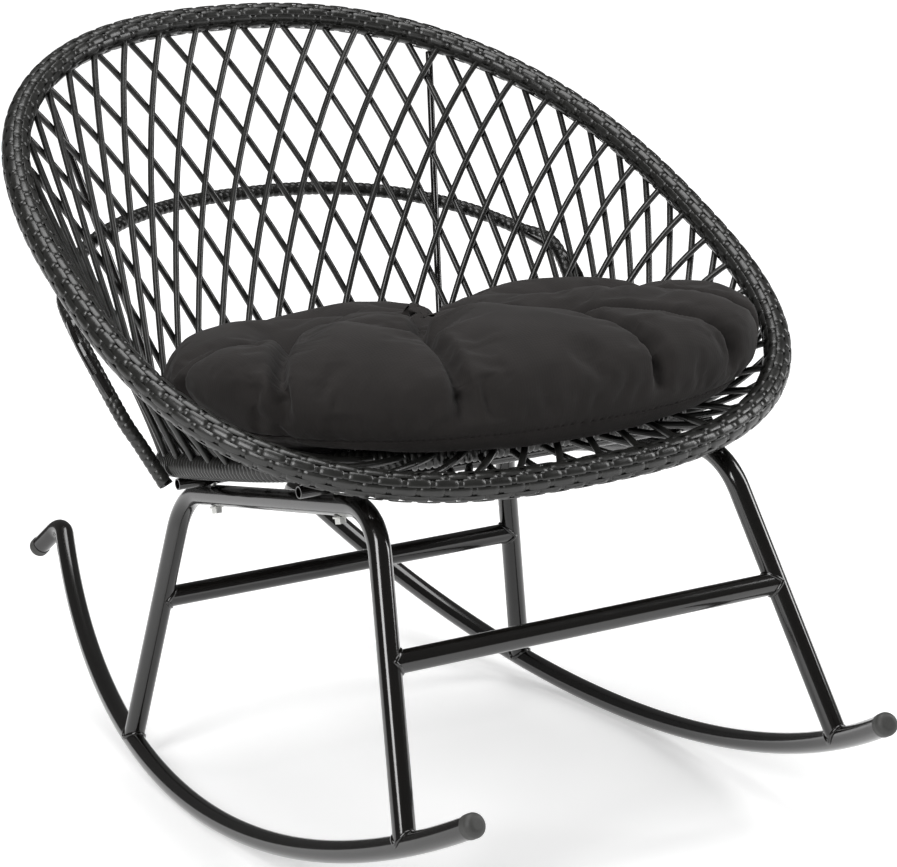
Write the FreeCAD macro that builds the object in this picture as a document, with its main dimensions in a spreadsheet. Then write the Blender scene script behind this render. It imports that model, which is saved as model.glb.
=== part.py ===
import FreeCAD
import Part
import Sketcher
import math
import os
from FreeCAD import Placement, Rotation, Vector

# Rocking chair with a woven bowl seat on a bent-tube rocker base.
# Design frame: X to the sitter's left-hand side of the view, Y to the back, Z up,
# with the floor at Z = 0 under the lowest point of the rockers. The whole chair is
# then leaned back to the angle at which it rests when nobody sits in it.

# Sizes in millimetres and degrees: name, value, what it measures
SIZES = [
    ("tube_od", 22.0, "base tubes, outside diameter"),
    ("tube_wall", 1.5, "base tubes, wall"),
    ("rest_lean", 7.4, "angle by which the empty chair leans back"),
    ("weld_gap", 0.2, "gap left where a coped tube meets its neighbour"),
    ("seat_gap", 0.3, "gap left where a piece lies against another"),
    ("rocker_radius", 968.0, "rocker centre line, radius"),
    ("rocker_half_track", 264.0, "rocker lowest point, distance from the middle"),
    ("rocker_inward", 26.0, "rocker plane, lean towards the middle"),
    ("rocker_front_reach", 388.0, "rocker front end, distance ahead of the lowest point"),
    ("rocker_back_reach", 635.0, "rocker rear bend, distance behind the lowest point"),
    ("stop_radius", 26.0, "rear stop, bend radius"),
    ("stop_drop", 38.0, "rear stop, angle below the horizontal"),
    ("stop_length", 30.0, "rear stop, straight length"),
    ("cap_head", 13.0, "end cap, length outside the tube"),
    ("cap_bulge", 0.7, "end cap, how far it stands proud of the tube"),
    ("cap_plug", 18.0, "end cap, length inside the tube"),
    ("cap_round", 7.0, "end cap, rounding of its end"),
    ("cap_play", 0.8, "end caps, gap between a plug and the bore it sits in"),
    ("insert_gap", 0.3, "threaded inserts, gap round them"),
    ("foot_reach", 296.0, "side frame feet, distance from the middle along the rocker"),
    ("shoulder_reach", 209.0, "side frame corners, distance from the middle"),
    ("bar_half_width", 194.5, "side frame top bars, distance from the middle"),
    ("bar_height", 331.5, "side frame top bars, height of the axis at the middle"),
    ("seat_tilt", 3.4, "top bars and base ring, front higher than back"),
    ("shoulder_radius", 58.0, "side frame corners, bend radius"),
    ("crossbar_height", 207.0, "crossbars, height of the axis"),
    ("rail_od", 12.0, "seat rails, outside diameter"),
    ("rail_wall", 1.2, "seat rails, wall"),
    ("rail_overhang", 40.0, "seat rails, length past the bolt"),
    ("bolt_reach", 135.0, "seat bolts, distance from the middle"),
    ("bolt_shank", 6.0, "seat bolts, shank diameter"),
    ("bolt_play", 0.6, "seat bolts, play in their holes"),
    ("bolt_head", 5.0, "seat bolts, head height"),
    ("bolt_flats", 10.0, "seat bolts, across the flats of the head"),
    ("washer_od", 14.0, "washers, outside diameter"),
    ("washer_thickness", 1.6, "washers, thickness"),
    ("insert_od", 8.5, "threaded inserts in the seat rails, outside diameter"),
    ("ring_half_width", 235.0, "base ring, half width"),
    ("ring_setback", 70.0, "base ring, widest line behind the middle"),
    ("ring_back_depth", 228.0, "base ring, widest line to its back"),
    ("ring_front_depth", 265.0, "base ring, widest line to its front"),
    ("ring_back_power", 2.6, "base ring, squareness of its back"),
    ("ring_front_power", 3.5, "base ring, squareness of its front"),
    ("ring_strip", 2.5, "strip wound round the base ring, thickness"),
    ("sleeve_gap", 0.15, "gap between a tube and what is wound on it"),
    ("rim_setback", 47.0, "rim, widest line behind the middle"),
    ("rim_rise", 222.0, "rim, widest line above the top bars"),
    ("rim_tilt", 33.9, "rim, tilt of its plane"),
    ("rim_half_width", 362.0, "rim, half width"),
    ("rim_back_depth", 452.0, "rim, widest line to its back along its plane"),
    ("rim_front_depth", 364.0, "rim, widest line to its front along its plane"),
    ("rim_back_power", 2.35, "rim, squareness of its back"),
    ("rim_front_power", 2.65, "rim, squareness of its front"),
    ("rim_tube_od", 19.0, "rim tube, outside diameter"),
    ("rim_tube_wall", 1.2, "rim tube, wall"),
    ("rim_weave", 4.7, "woven cover of the rim, thickness"),
    ("strand_od", 7.0, "lattice strands, diameter"),
    ("strand_count", 52.0, "lattice strands in each of the two layers"),
    ("strand_sweep", 168.0, "how far a strand at the back runs round the base ring"),
    ("layer_gap", 3.2, "lattice, gap between its two layers"),
    ("strand_gap", 0.2, "lattice strands, gap at the rim and the base ring"),
    ("panel_count", 10.0, "lattice, panels it is woven in"),
    ("strut_od", 8.0, "back struts and front stays, diameter"),
    ("strut_reach", 250.0, "back struts, distance from the rim's back along the rim"),
    ("stay_reach", 120.0, "front stays, distance from the rim's front along the rim"),
    ("hoop_rod_od", 11.0, "back hoop, rod diameter"),
    ("hoop_strip", 2.0, "strip wound round the back hoop, thickness"),
    ("hoop_gap", 1.3, "back hoop, gap to the struts"),
    ("hoop_drop", 195.0, "back hoop, distance below the rim at the back"),
    ("hoop_tilt", 29.4, "back hoop, tilt of its plane"),
    ("hoop_leg_reach", 495.0, "back hoop legs, distance from the rim's back along the rim"),
    ("hoop_corner", 70.0, "back hoop, length taken by each corner"),
    ("hoop_tail", 12.0, "back hoop legs, length past the middle of the base ring"),
    ("strip_width", 34.0, "seat strips, width"),
    ("strip_thickness", 1.6, "seat strips, thickness"),
    ("strip_space", 18.0, "seat strips, space between two"),
    ("strip_gap", 0.4, "seat strips, gap between the two layers"),
    ("cushion_setback", -62.0, "cushion, widest line behind the middle"),
    ("cushion_front", 175.0, "cushion, widest line to its front"),
    ("cushion_side_gap", 8.0, "cushion, gap to the lattice at its sides"),
    ("cushion_back", 305.0, "cushion, widest line to its back"),
    ("cushion_front_power", 2.3, "cushion, squareness of its front"),
    ("cushion_back_power", 2.15, "cushion, squareness of its back"),
    ("cushion_belly", 55.0, "cushion, widest height above the base ring's top"),
    ("cushion_crown", 106.0, "cushion, top above the base ring's top"),
    ("cushion_cover", 4.0, "cushion, thickness of its quilted cover"),
    ("tuft_depth", 13.0, "cushion tufts, depth"),
    ("tuft_radius", 45.0, "cushion tufts, radius of the hollow"),
    ("tuft_space", 150.0, "cushion tufts, spacing across"),
    ("tuft_row", 115.0, "cushion tufts, spacing of the rows"),
]

doc = FreeCAD.newDocument("rocking_chair")
sheet = doc.addObject("Spreadsheet::Sheet", "sizes")
for row, (alias, value, note) in enumerate(SIZES, start=1):
    sheet.set(f"A{row}", note)
    sheet.set(f"B{row}", str(value))
    sheet.setAlias(f"B{row}", alias)
doc.recompute()


def size(alias):
    return float(sheet.get(alias))


def angle(alias):
    return math.radians(size(alias))


ACROSS = Vector(1, 0, 0)
BACK = Vector(0, 1, 0)
UP = Vector(0, 0, 1)
STRAIGHT = 1e-6
LEFT, RIGHT = -1, 1
SIDES = (("left", LEFT), ("right", RIGHT))

tube_radius = size("tube_od") / 2
tube_bore = tube_radius - size("tube_wall")
saddle_radius = tube_radius + size("weld_gap")
seat_gap = size("seat_gap")

pieces = []


def keep(feature, label):
    """Count a finished object among the chair's pieces, under its own name."""
    feature.Label = label
    pieces.append(feature)
    return feature


def piece(label, shape):
    feature = doc.addObject("Part::Feature", label)
    feature.Shape = shape
    return keep(feature, label)


def helper(name, shape):
    feature = doc.addObject("Part::Feature", name)
    feature.Shape = shape
    return feature


# Curves

def unit(vector):
    return vector * (1.0 / vector.Length)


def arc_edge(start, tangent, end):
    """Arc that leaves start along tangent and ends at end, or a line where it is straight."""
    chord = end - start
    along = unit(chord)
    side = tangent - along * tangent.dot(along)
    if side.Length < STRAIGHT:
        return Part.makeLine(start, end)
    turn = math.atan2(side.Length, tangent.dot(along))
    sagitta = chord.Length / 2 * math.tan(turn / 2)
    middle = (start + end) * 0.5 + unit(side) * sagitta
    return Part.Arc(start, middle, end).toShape()


def biarc(start, start_tangent, end, end_tangent):
    """Two arcs, tangent to each other, that join two points with given directions."""
    span = end - start
    lean = span.dot(start_tangent + end_tangent)
    bend = 2 * (1 - start_tangent.dot(end_tangent))
    if bend < STRAIGHT:
        reach = span.dot(span) / (2 * lean)
    else:
        reach = (math.sqrt(lean ** 2 + bend * span.dot(span)) - lean) / bend
    first = start + start_tangent * reach
    last = end - end_tangent * reach
    joint = (first + last) * 0.5
    return [
        arc_edge(start, start_tangent, joint),
        arc_edge(joint, unit(last - first), end),
    ]


# Bent tubes are chains of short straight spans, many-sided in section, which keeps them light

TUBE_SIDES = 16
SLEEVE_SIDES = 12
BEND_SAG = 0.5


def stations(edges):
    """Points and directions along a chain of tangent edges, close together in its bends."""
    places = []
    for edge in edges:
        spans = 1
        if isinstance(edge.Curve, Part.Circle):
            spans = math.ceil(edge.Length / math.sqrt(8 * edge.Curve.Radius * BEND_SAG))
        step = (edge.LastParameter - edge.FirstParameter) / spans
        first = 1 if places else 0
        for number in range(first, spans + 1):
            place = edge.FirstParameter + step * number
            places.append((edge.valueAt(place), edge.tangentAt(place)))
    return places


def outlines(places, radius, sides, side):
    """Many-sided sections along a path, carried along it from a first direction without twist."""
    wires = []
    for spot, heading in places:
        side = unit(side - heading * side.dot(heading))
        other = heading.cross(side)
        turns = [2 * math.pi * corner / sides for corner in range(sides + 1)]
        wires.append(
            Part.makePolygon([spot + (side * math.cos(turn) + other * math.sin(turn)) * radius for turn in turns])
        )
    return wires


def rod_through(places, radius, sides):
    return Part.makeLoft(outlines(places, radius, sides, UP.cross(places[0][1])), True, True)


def swept(edges, radius, sides=TUBE_SIDES):
    return rod_through(stations(edges), radius, sides)


def tube(edges, outer, inner, sides=TUBE_SIDES):
    return swept(edges, outer, sides).cut(swept(edges, inner, sides))


class Oval:
    """Closed superellipse in a plane, drawn in straight spans of one length.

    It is walked by share of its length from its back centre, right side first.
    """

    STEPS = 720
    SPANS = 40
    NUDGE = 0.004

    def __init__(self, centre, back, half_width, depths, powers):
        self.centre = centre
        self.back = back
        self.half_width = half_width
        self.depths = depths
        self.powers = powers
        fine = [self.spot(2 * math.pi * step / self.STEPS) for step in range(self.STEPS + 1)]
        lengths = [0.0]
        for near, far in zip(fine, fine[1:]):
            lengths.append(lengths[-1] + (far - near).Length)
        self.points = []
        step = 0
        for span in range(self.SPANS):
            goal = lengths[-1] * span / self.SPANS
            while lengths[step + 1] <= goal:
                step += 1
            part = (goal - lengths[step]) / (lengths[step + 1] - lengths[step])
            self.points.append(fine[step] + (fine[step + 1] - fine[step]) * part)
        self.length = lengths[-1]

    def spot(self, turn):
        across, along = math.sin(turn), math.cos(turn)
        half = 0 if along >= 0 else 1
        power = 2 / self.powers[half]
        sideways = math.copysign(abs(across) ** power, across) * self.half_width
        lengthwise = math.copysign(abs(along) ** power, along) * self.depths[half]
        return self.centre + ACROSS * sideways + self.back * lengthwise

    def at(self, share):
        place = (share % 1.0) * self.SPANS
        span = int(place) % self.SPANS
        near, far = self.points[span], self.points[(span + 1) % self.SPANS]
        return near + (far - near) * (place - int(place))

    def tangent(self, share):
        return unit(self.at(share + self.NUDGE) - self.at(share - self.NUDGE))

    def nearest(self, point, share):
        """Point of the curve next to a point that lies close to a share."""
        for _ in range(2):
            share += (point - self.at(share)).dot(self.tangent(share)) / self.length
        spot, tangent = self.at(share), self.tangent(share)
        return spot + tangent * (point - spot).dot(tangent)

    def places(self):
        shares = [span / self.SPANS for span in range(self.SPANS)]
        return [(self.at(share), self.tangent(share)) for share in shares]

    def rod(self, radius):
        normal = ACROSS.cross(self.back)
        return Part.makeLoft(outlines(self.places(), radius, SLEEVE_SIDES, normal), True, True, True)

    def sleeve(self, outer, inner):
        shells = [self.rod(outer).Shells[0], self.rod(inner).Shells[0].reversed()]
        return Part.makeSolid(Part.makeCompound(shells))


def largest(shape):
    return max(shape.Solids, key=lambda solid: solid.Volume)


# Rockers: arcs in planes that lean inward, each with a turned-down stop at the rear

def rocker_plane(side):
    lowest = ACROSS * (side * size("rocker_half_track")) + UP * tube_radius
    inward = angle("rocker_inward")
    rise = ACROSS * (-side * math.sin(inward)) + UP * math.cos(inward)
    return lowest, rise


def rocker_point(side, turn):
    lowest, rise = rocker_plane(side)
    radius = size("rocker_radius")
    return lowest + BACK * (radius * math.sin(turn)) + rise * (radius * (1 - math.cos(turn)))


def rocker_turn(reach):
    return math.asin(reach / size("rocker_radius"))


def rocker_heading(side, turn):
    return BACK * math.cos(turn) + rocker_plane(side)[1] * math.sin(turn)


def rocker_edges(side):
    front = rocker_turn(-size("rocker_front_reach"))
    rear = rocker_turn(size("rocker_back_reach"))
    drop = -angle("stop_drop")
    rise = rocker_plane(side)[1]
    end = rocker_point(side, rear)
    hub = end + BACK * (size("stop_radius") * math.sin(rear)) - rise * (size("stop_radius") * math.cos(rear))

    def on_bend(turn):
        return hub - BACK * (size("stop_radius") * math.sin(turn)) + rise * (size("stop_radius") * math.cos(turn))

    tail = on_bend(drop) + rocker_heading(side, drop) * size("stop_length")
    return [
        Part.Arc(rocker_point(side, front), rocker_point(side, 0), end).toShape(),
        Part.Arc(end, on_bend((rear + drop) / 2), on_bend(drop)).toShape(),
        Part.makeLine(on_bend(drop), tail),
    ]


rocker_paths = {side: rocker_edges(side) for name, side in SIDES}
rocker_saddles = {side: swept(rocker_paths[side], saddle_radius) for name, side in SIDES}
for name, side in SIDES:
    piece(f"rocker_{name}", tube(rocker_paths[side], tube_radius, tube_bore))


# Turned pieces: a closed outline of (radius, height) expressions revolved round its axis

def turned(name, outline):
    body = doc.addObject("PartDesign::Body", name)
    sketch = body.newObject("Sketcher::SketchObject", name + "_outline")
    plane = next(plane for plane in body.Origin.OriginFeatures if plane.Role == "XZ_Plane")
    sketch.AttachmentSupport = [(plane, "")]
    sketch.MapMode = "FlatFace"
    count = len(outline)
    rough = [Vector(1 + corner, corner, 0) for corner in range(count)]
    for corner in range(count):
        sketch.addGeometry(Part.LineSegment(rough[corner], rough[(corner + 1) % count]), False)
    for corner in range(count):
        sketch.addConstraint(Sketcher.Constraint("Coincident", corner, 2, (corner + 1) % count, 1))
    for corner, (radius, height) in enumerate(outline):
        for kind, expression, axis in (("DistanceX", radius, -2), ("DistanceY", height, -1)):
            if expression == "0":
                sketch.addConstraint(Sketcher.Constraint("PointOnObject", corner, 1, axis))
            else:
                number = sketch.addConstraint(Sketcher.Constraint(kind, -1, 1, corner, 1, 1.0))
                sketch.setExpression(f"Constraints[{number}]", expression)
    spin = body.newObject("PartDesign::Revolution", name + "_turned")
    spin.Profile = sketch
    spin.ReferenceAxis = (sketch, ["V_Axis"])
    spin.Angle = 360
    doc.recompute()
    return body, spin


def facing(direction, across=ACROSS):
    """Rotation that turns the Z axis to a direction and keeps X near another."""
    return Rotation(across, Vector(), direction, "ZXY")


# End caps: a plug in the bore and a rounded head that stands a little proud

CAP_OUTLINE = [
    ("0", "-sizes.cap_plug"),
    ("sizes.tube_od / 2 - sizes.tube_wall - sizes.cap_play", "-sizes.cap_plug"),
    ("sizes.tube_od / 2 - sizes.tube_wall - sizes.cap_play", "0"),
    ("sizes.tube_od / 2 + sizes.cap_bulge", "0"),
    ("sizes.tube_od / 2 + sizes.cap_bulge", "sizes.cap_head"),
    ("0", "sizes.cap_head"),
]


def end_cap(label, spot, direction):
    body, spin = turned(label, CAP_OUTLINE)
    top_edge = next(
        f"Edge{number}"
        for number, edge in enumerate(spin.Shape.Edges, start=1)
        if isinstance(edge.Curve, Part.Circle) and edge.CenterOfMass.z > size("cap_head") - STRAIGHT
    )
    rounding = body.newObject("PartDesign::Fillet", label + "_round")
    rounding.Base = (spin, [top_edge])
    rounding.setExpression("Radius", "sizes.cap_round")
    body.Placement = Placement(spot, facing(direction))
    keep(body, label)


for name, side in SIDES:
    front_turn = rocker_turn(-size("rocker_front_reach"))
    end_cap(f"front_cap_{name}", rocker_point(side, front_turn), rocker_heading(side, front_turn) * -1)
    tail_edge = rocker_paths[side][-1]
    end_cap(
        f"rear_cap_{name}",
        tail_edge.valueAt(tail_edge.LastParameter),
        rocker_heading(side, -angle("stop_drop")),
    )


# Side frames: inverted U tubes whose feet are coped onto the rockers

SEAT_BACK = BACK * math.cos(angle("seat_tilt")) - UP * math.sin(angle("seat_tilt"))
SEAT_UP = BACK * math.sin(angle("seat_tilt")) + UP * math.cos(angle("seat_tilt"))


def seat_point(across, back, height):
    """Place in the seat's frame, measured from the middle of the top bars."""
    origin = UP * size("bar_height")
    return origin + ACROSS * across + SEAT_BACK * back + SEAT_UP * height


def rounded(corners, radius):
    """Edges of an open polyline whose inner corners are tangent arcs."""
    chain = []
    start = corners[0]
    for before, corner, after in zip(corners, corners[1:], corners[2:]):
        arriving = unit(corner - before)
        leaving = unit(after - corner)
        trim = radius * math.tan(arriving.getAngle(leaving) / 2)
        chain.append(Part.makeLine(start, corner - arriving * trim))
        chain.append(arc_edge(corner - arriving * trim, arriving, corner + leaving * trim))
        start = corner + leaving * trim
    chain.append(Part.makeLine(start, corners[-1]))
    return chain


def side_frame_corners(side):
    across = side * size("bar_half_width")
    reach = size("foot_reach")
    return [
        rocker_point(side, rocker_turn(-reach)),
        seat_point(across, -size("shoulder_reach"), 0),
        seat_point(across, size("shoulder_reach"), 0),
        rocker_point(side, rocker_turn(reach)),
    ]


def bolt_spots():
    return [
        (side * size("bar_half_width"), end * size("bolt_reach"))
        for end in (-1, 1)
        for side in (LEFT, RIGHT)
    ]


def bolt_hole(across, back, radius, bottom, top):
    return Part.makeCylinder(radius, top - bottom, seat_point(across, back, bottom), SEAT_UP)


hole_radius = (size("bolt_shank") + size("bolt_play")) / 2
frame_saddles = []
for name, side in SIDES:
    path = rounded(side_frame_corners(side), size("shoulder_radius"))
    frame_saddles.append(swept(path, saddle_radius))
    shape = tube(path, tube_radius, tube_bore).cut(rocker_saddles[side])
    for across, back in bolt_spots():
        if across * side > 0:
            shape = shape.cut(bolt_hole(across, back, hole_radius, -size("tube_od"), size("tube_od")))
    piece(f"side_frame_{name}", largest(shape))


# Straight tubes across the chair: crossbars and seat rails

def cross_tube(name, od, wall, spot, half_length):
    """Tube along X, centred on a place, with both diameters bound to the sheet."""
    outer = doc.addObject("Part::Cylinder", name + "_outside")
    outer.setExpression("Radius", f"sizes.{od} / 2")
    inner = doc.addObject("Part::Cylinder", name + "_bore")
    inner.setExpression("Radius", f"sizes.{od} / 2 - sizes.{wall}")
    for cylinder in (outer, inner):
        cylinder.Height = 2 * half_length
        cylinder.Placement = Placement(spot - ACROSS * half_length, facing(ACROSS, UP))
    shell = doc.addObject("Part::Cut", name + "_tube")
    shell.Base = outer
    shell.Tool = inner
    return shell


def leg_at(corners, height):
    foot, shoulder = corners
    return foot + (shoulder - foot) * ((height - foot.z) / (shoulder.z - foot.z))


legs = helper("leg_saddles", Part.makeCompound(frame_saddles))
front_foot, front_shoulder, rear_shoulder, rear_foot = side_frame_corners(RIGHT)
for name, corners in (
    ("front_crossbar", (front_foot, front_shoulder)),
    ("rear_crossbar", (rear_foot, rear_shoulder)),
):
    meeting = leg_at(corners, size("crossbar_height"))
    crossbar = doc.addObject("Part::Cut", name)
    crossbar.Base = cross_tube(name, "tube_od", "tube_wall", meeting - ACROSS * meeting.x, meeting.x)
    crossbar.Tool = legs
    keep(crossbar, name)

# Seat rails lie on the top bars, each held by two bolts that end in threaded inserts

rail_height = tube_radius + seat_gap + size("rail_od") / 2
rail_half_length = size("bar_half_width") + size("rail_overhang")
for name, end in (("front", -1), ("rear", 1)):
    label = f"seat_rail_{name}"
    spot = seat_point(0, end * size("bolt_reach"), rail_height)
    holes = [
        bolt_hole(across, back, size("insert_od") / 2 + size("insert_gap"), 0, rail_height)
        for across, back in bolt_spots()
        if back * end > 0
    ]
    rail = doc.addObject("Part::Cut", label)
    rail.Base = cross_tube(label, "rail_od", "rail_wall", spot, rail_half_length)
    rail.Tool = helper(label + "_holes", Part.makeCompound(holes))
    keep(rail, label)


def bolted_set(label, build):
    """Four like fasteners, one at each bolt, as one group."""
    members = []
    for number, (across, back) in enumerate(bolt_spots(), start=1):
        member = build(f"{label}_{number}")
        member.Placement = Placement(seat_point(across, back, 0), facing(SEAT_UP))
        members.append(member)
    group = doc.addObject("Part::Compound", label)
    group.Links = members
    keep(group, label)


WASHER_TOP = "-(sizes.tube_od / 2 + sizes.seat_gap)"
WASHER_FOOT = f"{WASHER_TOP} - sizes.washer_thickness"
HEAD_TOP = f"{WASHER_FOOT} - sizes.seat_gap"
HEAD_FOOT = f"{HEAD_TOP} - sizes.bolt_head"
INSERT_FOOT = "sizes.tube_od / 2 + sizes.seat_gap"
INSERT_TOP = f"{INSERT_FOOT} + sizes.rail_od / 2"
SHANK = "sizes.bolt_shank / 2"
HOLE = "(sizes.bolt_shank + sizes.bolt_play) / 2"


def bolt(name):
    head = doc.addObject("Part::Prism", name + "_head")
    head.Polygon = 6
    head.setExpression("Circumradius", "sizes.bolt_flats / sqrt(3)")
    head.setExpression("Height", "sizes.bolt_head")
    head.setExpression("Placement.Base.z", HEAD_FOOT)
    shank = doc.addObject("Part::Cylinder", name + "_shank")
    shank.setExpression("Radius", SHANK)
    shank.setExpression("Height", f"{INSERT_TOP} - ({HEAD_TOP})")
    shank.setExpression("Placement.Base.z", HEAD_TOP)
    whole = doc.addObject("Part::Fuse", name)
    whole.Base = head
    whole.Tool = shank
    return whole


def washer(name):
    outline = [
        (HOLE, WASHER_FOOT),
        ("sizes.washer_od / 2", WASHER_FOOT),
        ("sizes.washer_od / 2", WASHER_TOP),
        (HOLE, WASHER_TOP),
    ]
    return turned(name, outline)[0]


def insert(name):
    outline = [
        (f"{SHANK} + sizes.insert_gap", INSERT_FOOT),
        ("sizes.insert_od / 2", INSERT_FOOT),
        ("sizes.insert_od / 2", INSERT_TOP),
        (f"{SHANK} + sizes.insert_gap", INSERT_TOP),
    ]
    return turned(name, outline)[0]


bolted_set("seat_bolts", bolt)
bolted_set("seat_washers", washer)
bolted_set("rail_inserts", insert)


# Base ring: tube and the strip wound on it, lying on the seat rails

ring_radius = tube_radius + size("sleeve_gap") + size("ring_strip")
ring_height = rail_height + size("rail_od") / 2 + seat_gap + ring_radius
ring = Oval(
    seat_point(0, size("ring_setback"), ring_height),
    SEAT_BACK,
    size("ring_half_width"),
    (size("ring_back_depth"), size("ring_front_depth")),
    (size("ring_back_power"), size("ring_front_power")),
)
piece("base_ring_tube", ring.sleeve(tube_radius, tube_bore))
piece("base_ring_wrap", ring.sleeve(ring_radius, tube_radius + size("sleeve_gap")))

# Rim: the large tilted oval tube in its thick woven cover

rim_tube_radius = size("rim_tube_od") / 2
rim_radius = rim_tube_radius + size("sleeve_gap") + size("rim_weave")
rim_back = BACK * math.cos(angle("rim_tilt")) + UP * math.sin(angle("rim_tilt"))
rim = Oval(
    BACK * size("rim_setback") + UP * (size("bar_height") + size("rim_rise")),
    rim_back,
    size("rim_half_width"),
    (size("rim_back_depth"), size("rim_front_depth")),
    (size("rim_back_power"), size("rim_front_power")),
)
piece("rim_tube", rim.sleeve(rim_tube_radius, rim_tube_radius - size("rim_tube_wall")))
piece("rim_weave", rim.sleeve(rim_radius, rim_tube_radius + size("sleeve_gap")))


# Wall of the bowl: straight rulings from the rim to the base ring

def wall(share, part):
    return rim.at(share) + (ring.at(share) - rim.at(share)) * part


def outward(share):
    down = ring.at(share) - rim.at(share)
    return unit(rim.tangent(share).cross(down))


def clears(point, heading, oval, share, tube_reach, rod_radius):
    """Whether the square end of a rod keeps off the tube round an oval."""
    radial = point - oval.nearest(point, share)
    slope = math.sqrt(max(0.0, 1 - heading.dot(unit(radial)) ** 2))
    return radial.Length >= tube_reach + rod_radius * slope


def seated(low, high, is_clear):
    """Smallest way along a rod, between two limits, at which its end is clear."""
    while abs(high - low) > STRAIGHT:
        middle = (low + high) / 2
        if is_clear(middle):
            high = middle
        else:
            low = middle
    return high


def seated_end(point, direction, oval, share, tube_reach, rod_radius):
    def is_clear(way):
        return clears(point + direction * way, direction, oval, share, tube_reach, rod_radius)

    return point + direction * seated(0.0, 4 * (tube_reach + rod_radius), is_clear)


def wall_rod(rim_share, ring_share, offset, radius):
    """Ends of a straight rod between rim and ring, a distance outside the wall."""
    shift = outward((rim_share + ring_share) / 2) * offset
    top = rim.at(rim_share) + shift
    foot = ring.at(ring_share) + shift
    down = unit(foot - top)
    return (
        seated_end(top, down, rim, rim_share, rim_radius + seat_gap, radius),
        seated_end(foot, down * -1, ring, ring_share, ring_radius + seat_gap, radius),
    )


def rod(ends, radius):
    top, foot = ends
    return Part.makeCylinder(radius, (foot - top).Length, top, unit(foot - top))


# Lattice: two crossing layers of straight strands, woven in panels round the bowl

strand_radius = size("strand_od") / 2
strand_count = round(size("strand_count"))
strand_gap = size("strand_gap")
layer_offset = strand_radius + size("layer_gap") / 2
back_span = (ring.at(0) - rim.at(0)).Length


def sweep_at(share):
    """Share of the ring that a strand runs round on its way down, less where the wall is short."""
    span = (ring.at(share) - rim.at(share)).Length
    return size("strand_sweep") / ring.length * span / back_span


def bow(share, sweep):
    """How far the middle of a straight strand through a share would stand outside the wall."""
    middle = (rim.at(share - sweep / 2) + ring.at(share + sweep / 2)) * 0.5
    return (middle - wall(share, 0.5)).dot(outward(share))


def draw_in(share):
    """Mean bow of the two strands that cross at a share, so that both layers follow one surface."""
    return (bow(share, sweep_at(share)) + bow(share, -sweep_at(share))) / 2


def woven(share, part):
    """Surface that the lattice lies on: the wall, drawn in between the rim and the ring."""
    return wall(share, part) + outward(share) * (4 * part * (1 - part) * draw_in(share))


STRAND_SPANS = 4
STRAND_SIDES = 6


def strand_stations(number, layer):
    """Points and directions along a strand, from the rim to the base ring."""
    start = (number + 0.5) / strand_count
    sweep = layer * sweep_at(start)

    def point(part):
        share = start + sweep * part
        return woven(share, part) + outward(share) * (layer * layer_offset)

    def heading(part):
        return unit(point(part + rim.NUDGE) - point(part - rim.NUDGE))

    def clear_of_rim(part):
        return clears(point(part), heading(part), rim, start, rim_radius + strand_gap, strand_radius)

    def clear_of_ring(part):
        return clears(point(part), heading(part), ring, start + sweep, ring_radius + strand_gap, strand_radius)

    top = seated(0.0, 0.5, clear_of_rim)
    foot = seated(1.0, 0.5, clear_of_ring)
    parts = [top + (foot - top) * step / STRAND_SPANS for step in range(STRAND_SPANS + 1)]
    return [(point(part), heading(part)) for part in parts]


strands = {
    (number, layer): strand_stations(number, layer)
    for number in range(strand_count)
    for layer in (LEFT, RIGHT)
}
panel_count = round(size("panel_count"))
for panel in range(panel_count):
    members = [
        rod_through(places, strand_radius, STRAND_SIDES)
        for (number, layer), places in strands.items()
        if number * panel_count // strand_count == panel
    ]
    piece(f"lattice_panel_{panel + 1:02d}", Part.makeCompound(members))


# Back struts outside the lattice, and short stays that hold the rim's front to the ring

strut_radius = size("strut_od") / 2
strut_offset = layer_offset + strand_radius + seat_gap + strut_radius
for name, side in SIDES:
    share = side * size("strut_reach") / rim.length
    piece(f"back_strut_{name}", rod(wall_rod(share, share, strut_offset, strut_radius), strut_radius))
    share = 0.5 - side * size("stay_reach") / rim.length
    piece(f"front_stay_{name}", rod(wall_rod(share, share, strut_offset, strut_radius), strut_radius))


# Back hoop: a wrapped rod round the back, outside the struts, with legs lapped on the ring

hoop_rod_radius = size("hoop_rod_od") / 2
hoop_radius = hoop_rod_radius + size("sleeve_gap") + size("hoop_strip")
hoop_offset = strut_offset + strut_radius + size("hoop_gap") + hoop_radius
hoop_normal = BACK * -math.sin(angle("hoop_tilt")) + UP * math.cos(angle("hoop_tilt"))
hoop_back = wall(0, size("hoop_drop") / back_span)
leg_share = size("hoop_leg_reach") / rim.length
HOOP_POINTS = 9


def hoop_part(share):
    """Part of the way from rim to ring at which the hoop's plane cuts the wall."""
    top, foot = rim.at(share), ring.at(share)
    return (hoop_back - top).dot(hoop_normal) / (foot - top).dot(hoop_normal)


def hoop_point(share):
    return wall(share, hoop_part(share)) + outward(share) * hoop_offset


def hoop_heading(share):
    return unit(hoop_point(share + rim.NUDGE) - hoop_point(share - rim.NUDGE))


def hoop_leg(side):
    """Straight leg: its upper end, its foot beside the ring and its direction."""
    share = side * leg_share
    down = unit(ring.at(share) - rim.at(share))
    lap = unit(ring.tangent(share).cross(down)) * (ring_radius + seat_gap + hoop_radius)
    foot = ring.at(share) + lap + down * size("hoop_tail")
    top = hoop_point(share) + down * size("hoop_corner")
    return top, foot, unit(foot - top)


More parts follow.
